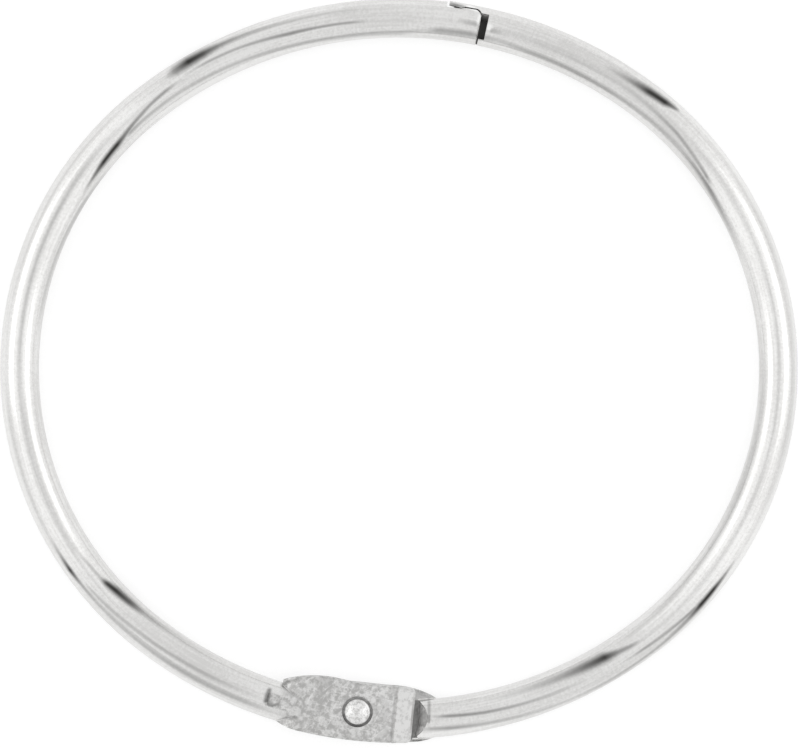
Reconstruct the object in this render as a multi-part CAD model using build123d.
from build123d import *
from math import acos, asin, atan2, cos, degrees, radians, sin
import os

# Hinged binder ring for punched sheets, made from two half rings of round steel wire.
# Sizes are in millimetres. The ring lies flat: X runs along its longer axis, Y from the hinge
# towards the snap closure, and Z up, out of the side that shows the domed rivet head.
# While it is being built, the middle of the wire is at Z = 0. It is set down at the end.

# Wire and the oval that it is bent to
WIRE_D = 2.85
OVAL_HALF_WIDTH = 27.80
OVAL_HALF_HEIGHT = 25.69
SIDE_ARC_R = 24.60

# Hinge: two half-thickness leaves turned face to face on one rivet. U runs along a leaf from
# the rivet to its square end.
HINGE_X = -3.04
HINGE_INSET = 0.47
LEAF_TOP = 1.27
LEAF_GAP = 0.04
LEAF_LENGTH = 4.10
LEAF_EDGE_OFFSET = 0.24
LEAF_INNER_WIDTH = 2.11
LEAF_EASE_R = 7.6
LEAF_FADE_U = 4.20
LEAF_TAIL_U = 5.90
LEAF_TUCK = 0.05
LEFT_SWELL = (0.22, 8.5, -2.6)
RIGHT_SWELL = (0.03, 6.4, -2.9)
LEAF_CORNER_R = 0.40
LEAF_ROOT = 5.62
LEAF_EDGE_R = 0.25
ROOT_RAMP_START = 4.15
ROOT_RAMP_END = 5.95
ROOT_RAMP_FOOT = 0.35
BAND_START = 2.68
BAND_CREST = 2.82
BAND_HEIGHT = 0.15
BAND_END_HEIGHT = 0.01
BAND_BEVEL = 0.16
DIE_FLAT_END = 6.56
DIE_WALL = 0.20

# The wire's shoulder beside a leaf, cut round the rivet: radii from its axis and depths
SHOULDER_FOOT = 4.55
SHOULDER_BULGE = (4.68, -0.72)
SHOULDER_TOP = 5.14
SHOULDER_FLAT_END = 5.33
SHOULDER_FLAT_Z = -1.33
SHOULDER_STOP = ((-4.34, -1.05), (-4.72, -1.70), (-4.10, -1.70))

# Rivet, and the seat that its domed head sinks into
SHANK_R = 0.75
SHANK_CLEARANCE = 0.04
HEAD_SEAT_R = 1.13
HEAD_SEAT_DEPTH = 0.22
HEAD_R = 0.93
HEAD_RIM = 0.03
HEAD_HEIGHT = 0.36
TAIL_R = 1.02
TAIL_HEIGHT = 0.30
TAIL_FLAT_R = 0.60
TAIL_CLEARANCE = 0.03

# Snap closure. S is the distance along the wire from the top of the oval towards the right,
# RHO the distance outwards from the middle of the wire.
INNER_TIP_S = 5.92
SLOT_WIDTH = 0.55
OUTER_TIP_S = 3.50
OUTER_TIP_RHO = 1.22
TIP_GAP = 0.10
TONGUE_GAP = 0.05
VALLEY_RHO = 0.98
TOOTH_HEIGHT = 0.15
TOOTH_FOOT_S = 4.42
TOOTH_CREST_S = 4.70
TONGUE_NOSE_R = 0.48
TONGUE_BEVEL = 0.08
SLOT_FOOT_RHO = -0.98
SLOT_ROOF_RHO = 0.50
SLOT_ROOF_Z = 0.10
SLOT_EAVE_RHO = 0.92
SLOT_EAVE_Z = 1.15
LIP_START_S = 3.90
LIP_TOP_Z = -0.45
OUTER_SPRING_R = 53.0
OUTER_ROOT_S = 6.60

# Worked out from the sizes above
WIRE_R = WIRE_D / 2
SIDE_X = OVAL_HALF_WIDTH - SIDE_ARC_R
END_ARC_R = (SIDE_X**2 + OVAL_HALF_HEIGHT**2 - SIDE_ARC_R**2) / (2 * (OVAL_HALF_HEIGHT - SIDE_ARC_R))
END_Y = END_ARC_R - OVAL_HALF_HEIGHT
BLEND_ANGLE = degrees(atan2(END_Y, SIDE_X))
TOP_CENTRE = Vector(0, -END_Y)
BOTTOM_CENTRE = Vector(0, END_Y)
HINGE_ARM = END_ARC_R - HINGE_INSET
HINGE_ANGLE = degrees(asin(-HINGE_X / HINGE_ARM))
HINGE_POINT = BOTTOM_CENTRE - Vector(0, HINGE_ARM).rotate(Axis.Z, -HINGE_ANGLE)
HINGE = Plane(origin=HINGE_POINT, x_dir=Vector(1, 0).rotate(Axis.Z, -HINGE_ANGLE), z_dir=(0, 0, 1))
REACH = 3 * WIRE_R


def wire_arc(centre, radius, start, end):
    """A length of round wire bent about a centre, from one angle to another in degrees."""
    outward = Vector(1, 0).rotate(Axis.Z, start)
    section = Plane(origin=centre + outward * radius, x_dir=outward, z_dir=outward.rotate(Axis.Z, 90))
    return revolve(section * Circle(WIRE_R), Axis(centre, (0, 0, 1)), end - start)


def end_angle(along):
    """Angle about the centre of an end arc that a distance along the wire takes."""
    return degrees(along / END_ARC_R)


def hinge_end_angle():
    """How far short of the rivet's radius the round wire stops, inside the leaf."""
    return degrees(asin((SHOULDER_FOOT - WIRE_R / 2) / END_ARC_R))


def left_wire():
    """The left half's wire, from past the closure round to the root of its hinge leaf."""
    top = wire_arc(TOP_CENTRE, END_ARC_R, 90 - end_angle(OUTER_ROOT_S), 180 - BLEND_ANGLE)
    side = wire_arc(Vector(-SIDE_X, 0), SIDE_ARC_R, 180 - BLEND_ANGLE, 180 + BLEND_ANGLE)
    hinge_end = 270 - HINGE_ANGLE - hinge_end_angle()
    bottom = wire_arc(BOTTOM_CENTRE, END_ARC_R, 180 + BLEND_ANGLE, hinge_end)
    return top + side + bottom


def right_wire():
    """The right half's wire. Beyond the tongue's root it springs slightly outwards."""
    hinge_end = 270 - HINGE_ANGLE + hinge_end_angle()
    bottom = wire_arc(BOTTOM_CENTRE, END_ARC_R, hinge_end, 360 - BLEND_ANGLE)
    side = wire_arc(Vector(SIDE_X, 0), SIDE_ARC_R, -BLEND_ANGLE, BLEND_ANGLE)
    root = 90 - end_angle(OUTER_ROOT_S)
    top = wire_arc(TOP_CENTRE, END_ARC_R, BLEND_ANGLE, root)
    spring_centre = TOP_CENTRE - Vector(OUTER_SPRING_R - END_ARC_R, 0).rotate(Axis.Z, root)
    tip = root + degrees((OUTER_ROOT_S - OUTER_TIP_S) / OUTER_SPRING_R)
    tongue = wire_arc(spring_centre, OUTER_SPRING_R, root, tip)
    return bottom + side + top + tongue


def closure_point(along, rho):
    """A point of the closure's outline, by distance along the wire and out from its middle."""
    return TOP_CENTRE + Vector(0, END_ARC_R + rho).rotate(Axis.Z, -end_angle(along))


def closure_cutter(edges, bottom=-REACH, top=REACH):
    """A tool with the given outline, which cuts the wire between two heights."""
    return Pos(0, 0, bottom) * extrude(make_face(Wire(edges)), top - bottom)


def line_edges(points):
    """Straight edges from each point to the next."""
    return [Edge.make_line(a, b) for a, b in zip(points[:-1], points[1:])]


def lap_edges(tip_rho, lift):
    """The lap's hooked line from the outer tip round the nose of the inner tongue.

    The valley holds the outer tongue's tooth, and the crest beyond it is the inner tongue's own.
    """
    crest = VALLEY_RHO + TOOTH_HEIGHT + lift
    nose_s = INNER_TIP_S - TONGUE_NOSE_R
    nose_r = TONGUE_NOSE_R + lift
    drop = crest - nose_r
    corners = [
        (OUTER_TIP_S - TIP_GAP, tip_rho),
        (TOOTH_FOOT_S, VALLEY_RHO + lift),
        (TOOTH_CREST_S, crest),
        (nose_s, crest),
    ]
    points = [closure_point(along, rho) for along, rho in corners]
    diagonal = nose_r * cos(radians(45))
    nose_middle = closure_point(nose_s + diagonal, drop + diagonal)
    nose_end = closure_point(nose_s + nose_r, drop)
    nose = Edge.make_three_point_arc(points[-1], nose_middle, nose_end)
    return line_edges(points) + [nose], points[0], nose_end


def lip_cutter(start_s, bottom, top):
    """A tool over the lip's whole width, from a place along the wire onwards."""
    corners = [
        (start_s, -REACH),
        (start_s, REACH),
        (OUTER_ROOT_S + REACH, REACH),
        (OUTER_ROOT_S + REACH, -REACH),
        (start_s, -REACH),
    ]
    return closure_cutter(line_edges([closure_point(along, rho) for along, rho in corners]), bottom, top)


def inner_tongue_cutter():
    """What is cut from the left wire to leave its thick inner tongue, which lies on the lip."""
    lap, start, nose_end = lap_edges(VALLEY_RHO, 0)
    shoulder = closure_point(OUTER_TIP_S - TIP_GAP, REACH)
    foot = closure_point(INNER_TIP_S, -REACH)
    beyond = closure_point(OUTER_ROOT_S + REACH, 0)
    edges = line_edges([shoulder, start]) + lap + line_edges([nose_end, foot, beyond, shoulder])
    return closure_cutter(edges) + lip_cutter(LIP_START_S - TIP_GAP, -REACH, LIP_TOP_Z + TONGUE_GAP)


def outer_tongue_cutter():
    """What is cut from the right wire to leave its outer tongue, the slot, its web and the lip."""
    lap, start, nose_end = lap_edges(OUTER_TIP_RHO, TONGUE_GAP)
    slot_s = INNER_TIP_S + SLOT_WIDTH
    web_s = INNER_TIP_S + TIP_GAP
    corners = [
        (INNER_TIP_S + TONGUE_GAP, SLOT_ROOF_RHO),
        (slot_s, SLOT_ROOF_RHO),
        (slot_s, SLOT_FOOT_RHO),
        (web_s, SLOT_FOOT_RHO),
        (web_s, -REACH),
        (OUTER_TIP_S - REACH, -REACH),
        (OUTER_TIP_S - REACH, OUTER_TIP_RHO),
    ]
    around = [nose_end] + [closure_point(along, rho) for along, rho in corners] + [start]
    lap_cutter = closure_cutter(lap + line_edges(around))
    return lap_cutter - lip_cutter(LIP_START_S, -REACH, LIP_TOP_Z) + slot_eave()


def left_tongue_wire():
    """The left half's wire with its inner tongue, bevelled round the nose on the side that shows."""
    wire = left_wire() - inner_tongue_cutter()
    nose = closure_point(INNER_TIP_S - TONGUE_NOSE_R, 0) + Vector(0, 0, WIRE_R)
    edges = [e for e in wire.edges() if (e @ 0.5).Z > WIRE_R / 2 and ((e @ 0.5) - nose).length < WIRE_R]
    return chamfer(edges, TONGUE_BEVEL)


def slot_eave():
    """The slope from the slot's roof up to the side that shows, across the slot's width."""
    middle_s = INNER_TIP_S + SLOT_WIDTH / 2
    outward = Vector(0, 1).rotate(Axis.Z, -end_angle(middle_s))
    section = Plane(origin=closure_point(middle_s, 0), x_dir=outward, z_dir=outward.rotate(Axis.Z, -90))
    corners = [
        (0, SLOT_ROOF_Z),
        (SLOT_ROOF_RHO, SLOT_ROOF_Z),
        (SLOT_EAVE_RHO, SLOT_EAVE_Z),
        (SLOT_EAVE_RHO, REACH),
        (0, REACH),
    ]
    return extrude(section * make_face(Polyline(corners, close=True)), SLOT_WIDTH / 2, both=True)


def leaf_outline(bulge, swell_r, crest_u):
    """The leaf seen from its own face: u along it from the root to the square end, w inwards.

    The outer edge runs parallel to the wire and fades into it. The inner edge starts at a sharp
    corner on the wire, swells by the bulge where metal was squeezed out, and then runs straight.
    """
    outer_r = END_ARC_R + WIRE_R + LEAF_EDGE_OFFSET
    outer_centre = Vector(0, HINGE_ARM)
    end_turn = degrees(asin(LEAF_LENGTH / outer_r))
    fade_turn = degrees(asin(LEAF_FADE_U / outer_r))
    outer_corner = outer_centre - Vector(0, outer_r).rotate(Axis.Z, end_turn)
    fade_start = outer_centre - Vector(0, outer_r).rotate(Axis.Z, -fade_turn)
    lowest = outer_centre - Vector(0, outer_r)
    wire_outside = END_ARC_R + WIRE_R - LEAF_TUCK
    tail = outer_centre - Vector(0, wire_outside).rotate(Axis.Z, -degrees(asin(LEAF_TAIL_U / wire_outside)))
    crest = Vector(crest_u, LEAF_INNER_WIDTH + bulge)
    swell_centre = crest - Vector(0, swell_r)
    root_turn = degrees(asin((LEAF_ROOT + crest_u) / swell_r))
    ease_turn = degrees(acos(1 - bulge / (swell_r + LEAF_EASE_R)))
    inner_root = swell_centre + Vector(0, swell_r).rotate(Axis.Z, root_turn)
    swell_end = swell_centre + Vector(0, swell_r).rotate(Axis.Z, -ease_turn)
    level = Vector(crest_u + (swell_r + LEAF_EASE_R) * sin(radians(ease_turn)), LEAF_INNER_WIDTH)
    inner_corner = Vector(LEAF_LENGTH, LEAF_INNER_WIDTH)
    swell = ThreePointArc(inner_root, crest, swell_end)
    ease = TangentArc(swell_end, level, tangent=Vector(1, 0).rotate(Axis.Z, -ease_turn))
    straight = Line(level, inner_corner)
    square_end = Line(inner_corner, outer_corner)
    outer = ThreePointArc(outer_corner, lowest, fade_start)
    fade = TangentArc(fade_start, tail, tangent=Vector(-1, 0).rotate(Axis.Z, -fade_turn))
    root = Line(tail, inner_root)
    return make_face([swell, ease, straight, square_end, outer, fade, root])


def side_cutter(points):
    """A tool across the leaf, whose outline is given by distance along the leaf and height."""
    outline = [Vector(u, -REACH, z) for u, z in points]
    return extrude(make_face(Wire.make_polygon(outline)), 2 * REACH, dir=(0, 1, 0))


def round_corners(blank):
    """A leaf's blank with the two corners of its square end rounded."""
    return fillet(blank.edges().filter_by(Axis.Z).group_by(Axis.X)[-1], LEAF_CORNER_R)


def rim(blank, start_u):
    """The edges round the blank's face, right of the line across it where the face starts."""
    top = [e for e in blank.edges() if (e @ 0.5).Z > LEAF_TOP - LEAF_GAP]
    return [e for e in top if (e @ 0.5).X > start_u]


def hinge_leaf(swell, hole_r):
    """A flattened leaf with a raised band at its square end and a ramp down to the wire's side."""
    outline = leaf_outline(*swell)
    band_top = LEAF_TOP + BAND_HEIGHT
    flat = round_corners(extrude(outline, LEAF_TOP))
    flat = fillet(rim(flat, -LEAF_ROOT), LEAF_EDGE_R)
    band = extrude(outline, band_top) - side_cutter(
        [
            (-LEAF_TAIL_U - REACH, -REACH),
            (BAND_START, -REACH),
            (BAND_START, LEAF_TOP),
            (BAND_CREST, band_top),
            (LEAF_LENGTH, LEAF_TOP + BAND_END_HEIGHT),
            (LEAF_LENGTH, REACH),
            (-LEAF_TAIL_U - REACH, REACH),
        ]
    )
    band = round_corners(band)
    band = chamfer(rim(band, BAND_CREST + LEAF_GAP), BAND_BEVEL)
    flat -= side_cutter([(BAND_CREST, -REACH), (BAND_CREST, REACH), (REACH, REACH), (REACH, -REACH)])
    gap = extrude(Rectangle(4 * REACH, 4 * REACH), LEAF_GAP / 2)
    return flat + band - root_ramp() - gap - extrude(Circle(hole_r), REACH)


def root_ramp():
    """The hollow ramp at the leaf's root, level with the face where it starts."""
    top = (-ROOT_RAMP_START, LEAF_TOP)
    foot = (-ROOT_RAMP_END, ROOT_RAMP_FOOT)
    outline = [
        TangentArc(top, foot, tangent=(-1, 0)),
        Line(foot, (-ROOT_RAMP_END, REACH)),
        Line((-ROOT_RAMP_END, REACH), (-ROOT_RAMP_START, REACH)),
        Line((-ROOT_RAMP_START, REACH), top),
    ]
    return extrude(Plane.XZ * make_face(outline), REACH, both=True)


def shoulder_cutter():
    """What is turned off the wire below its leaf, so that the other leaf's end can swing past."""
    profile = [
        Line((0, LEAF_GAP / 2), (SHOULDER_FOOT, LEAF_GAP / 2)),
        ThreePointArc((SHOULDER_FOOT, LEAF_GAP / 2), SHOULDER_BULGE, (SHOULDER_TOP, SHOULDER_FLAT_Z)),
        Line((SHOULDER_TOP, SHOULDER_FLAT_Z), (SHOULDER_FLAT_END, SHOULDER_FLAT_Z)),
        Line((SHOULDER_FLAT_END, SHOULDER_FLAT_Z), (SHOULDER_FLAT_END, -REACH)),
        Line((SHOULDER_FLAT_END, -REACH), (0, -REACH)),
        Line((0, -REACH), (0, LEAF_GAP / 2)),
    ]
    stop = extrude(make_face(Polyline(SHOULDER_STOP, close=True)), -REACH)
    return revolve(Plane.XZ * make_face(profile), Axis.Z) + Pos(0, 0, LEAF_GAP / 2) * stop


def half_ring(wire, swell, hole_r):
    """A wire with its leaf, in the hinge's own frame, with the leaf on the upper side.

    The leaf's die also leaves a flat on the wire's crown, and below the leaf the wire ends in a
    rounded shoulder, with a flat that meets the other half when the ring is wide open.
    """
    die = side_cutter(
        [
            (-DIE_FLAT_END, LEAF_TOP),
            (REACH, LEAF_TOP),
            (REACH, WIRE_R),
            (-DIE_FLAT_END - DIE_WALL, WIRE_R),
        ]
    )
    near_hinge = Box(4 * REACH, 4 * REACH, 4 * REACH)
    end = (wire & near_hinge) - shoulder_cutter() - die - extrude(Circle(hole_r), REACH)
    return (wire - near_hinge) + end + hinge_leaf(swell, hole_r)


def head_seat():
    """The round seat in the front leaf that the rivet's head sinks into."""
    return Pos(0, 0, LEAF_TOP - HEAD_SEAT_DEPTH) * extrude(Circle(HEAD_SEAT_R), REACH)


def hinge_rivet():
    """The rivet in the hinge's own frame: domed head on the front leaf, closed head at the back."""
    seat = LEAF_TOP - HEAD_SEAT_DEPTH
    rim_top = LEAF_TOP + HEAD_RIM
    head_top = LEAF_TOP + HEAD_HEIGHT
    dome = HEAD_HEIGHT - HEAD_RIM
    dome_r = (HEAD_R**2 + dome**2) / (2 * dome)
    half_turn = asin(HEAD_R / dome_r) / 2
    dome_middle = (dome_r * sin(half_turn), head_top - dome_r + dome_r * cos(half_turn))
    tail_base = -LEAF_TOP - TAIL_CLEARANCE
    tail_end = tail_base - TAIL_HEIGHT
    profile = [
        Line((0, head_top), (0, tail_end)),
        Line((0, tail_end), (TAIL_FLAT_R, tail_end)),
        Line((TAIL_FLAT_R, tail_end), (TAIL_R, tail_base)),
        Line((TAIL_R, tail_base), (SHANK_R, tail_base)),
        Line((SHANK_R, tail_base), (SHANK_R, seat)),
        Line((SHANK_R, seat), (HEAD_R, seat)),
        Line((HEAD_R, seat), (HEAD_R, rim_top)),
        ThreePointArc((HEAD_R, rim_top), dome_middle, (0, head_top)),
    ]
    return revolve(Plane.XZ * make_face(profile), Axis.Z)


def place_on_bench(pieces):
    """Sets the ring down with its lowest point at Z = 0 and its middle over the origin."""
    boxes = [piece.bounding_box() for piece in pieces.values()]
    middle_x = (min(box.min.X for box in boxes) + max(box.max.X for box in boxes)) / 2
    middle_y = (min(box.min.Y for box in boxes) + max(box.max.Y for box in boxes)) / 2
    drop = Vector(-middle_x, -middle_y, -min(box.min.Z for box in boxes))
    return {name: Pos(drop) * piece for name, piece in pieces.items()}, drop


to_hinge = HINGE.location.inverse()
turned = Rot(0, 180, 0)
left_end = to_hinge * left_tongue_wire()
right_end = turned * to_hinge * (right_wire() - outer_tongue_cutter())
left_half = HINGE.location * (half_ring(left_end, LEFT_SWELL, SHANK_R) - head_seat())
right_half = HINGE.location * turned * half_ring(right_end, RIGHT_SWELL, SHANK_R + SHANK_CLEARANCE)

pieces, drop = place_on_bench(
    {
        "left_half_ring": left_half,
        "right_half_ring": right_half,
        "hinge_rivet": HINGE.location * hinge_rivet(),
    }
)

os.makedirs("parts", exist_ok=True)
for name, piece in pieces.items():
    print(f"{name} volume {piece.volume:.2f}")
    export_step(piece, f"parts/{name}.step")
pivot = HINGE_POINT + drop
print(f"hinge axis at X {pivot.X:.3f} Y {pivot.Y:.3f}, wire's middle at Z {drop.Z:.3f}")
print(f"middle of the oval at Y {drop.Y:.3f}, end arc radius {END_ARC_R:.3f}")
